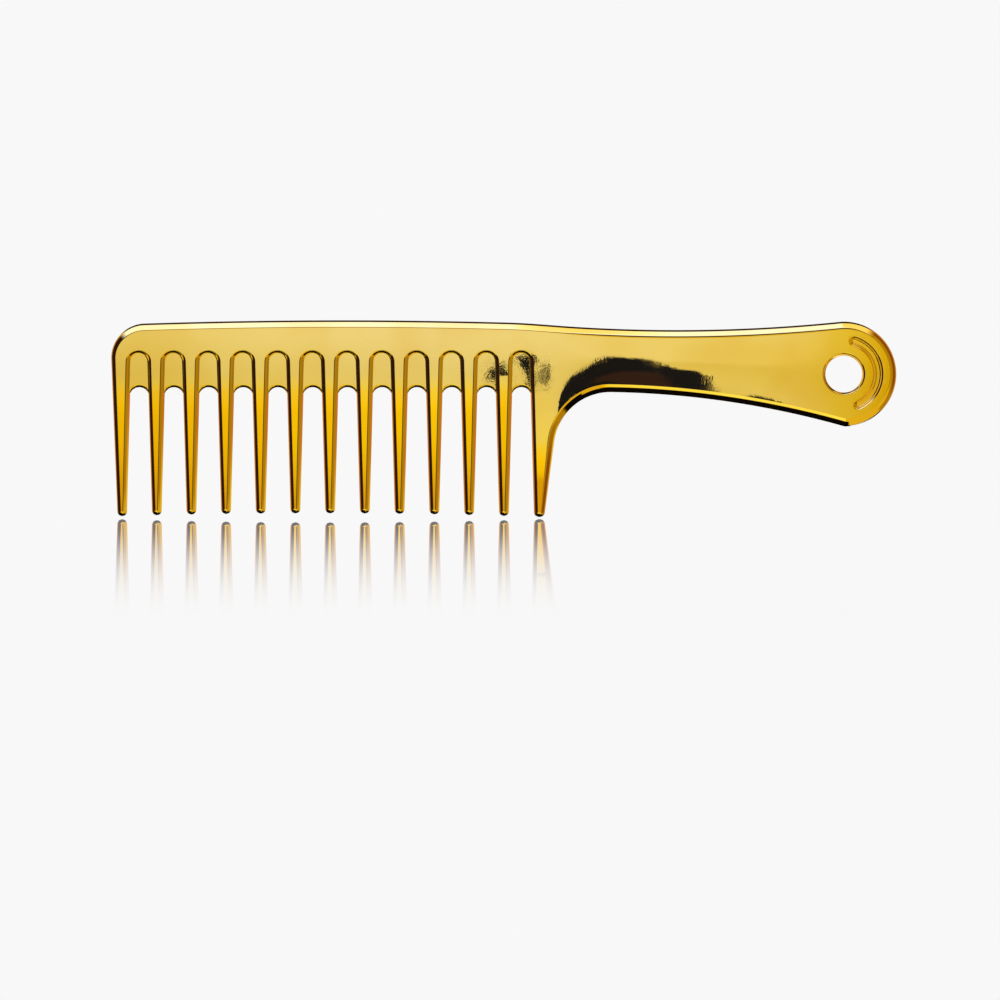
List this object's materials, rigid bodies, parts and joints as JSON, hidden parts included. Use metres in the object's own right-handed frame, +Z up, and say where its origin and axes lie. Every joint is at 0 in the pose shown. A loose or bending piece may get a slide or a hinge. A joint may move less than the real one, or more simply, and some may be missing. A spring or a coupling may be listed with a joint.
{
  "type": "wide tooth comb",
  "caption": "Wide tooth detangling comb with gold plated finish, thin webs between the tooth roots, a waisted handle and a round hanging eye.",
  "frame": {"origin": "on the floor under the middle of the comb's length and thickness, level with the lowest tooth tip", "axes": "+X along the comb from the head to the hanging eye, +Y through the thickness from the front face to the back face, +Z up from the tooth tips to the back edge"},
  "size_m": [0.2352, 0.0048, 0.0589],
  "materials": {
    "gold_plating": "mirror-bright gold plating over moulded ABS"
  },
  "bodies": {
    "root": {"spine": "gold_plating", "tooth_01": "gold_plating", "tooth_02": "gold_plating", "tooth_03": "gold_plating", "tooth_04": "gold_plating", "tooth_05": "gold_plating", "tooth_06": "gold_plating", "tooth_07": "gold_plating", "tooth_08": "gold_plating", "tooth_09": "gold_plating", "tooth_10": "gold_plating", "tooth_11": "gold_plating", "tooth_12": "gold_plating", "tooth_13": "gold_plating", "root_web_01": "gold_plating", "root_web_02": "gold_plating", "root_web_03": "gold_plating", "root_web_04": "gold_plating", "root_web_05": "gold_plating", "root_web_06": "gold_plating", "root_web_07": "gold_plating", "root_web_08": "gold_plating", "root_web_09": "gold_plating", "root_web_10": "gold_plating", "root_web_11": "gold_plating", "root_web_12": "gold_plating", "heel": "gold_plating", "handle": "gold_plating", "hanging_eye": "gold_plating"}
  },
  "joints": []
}
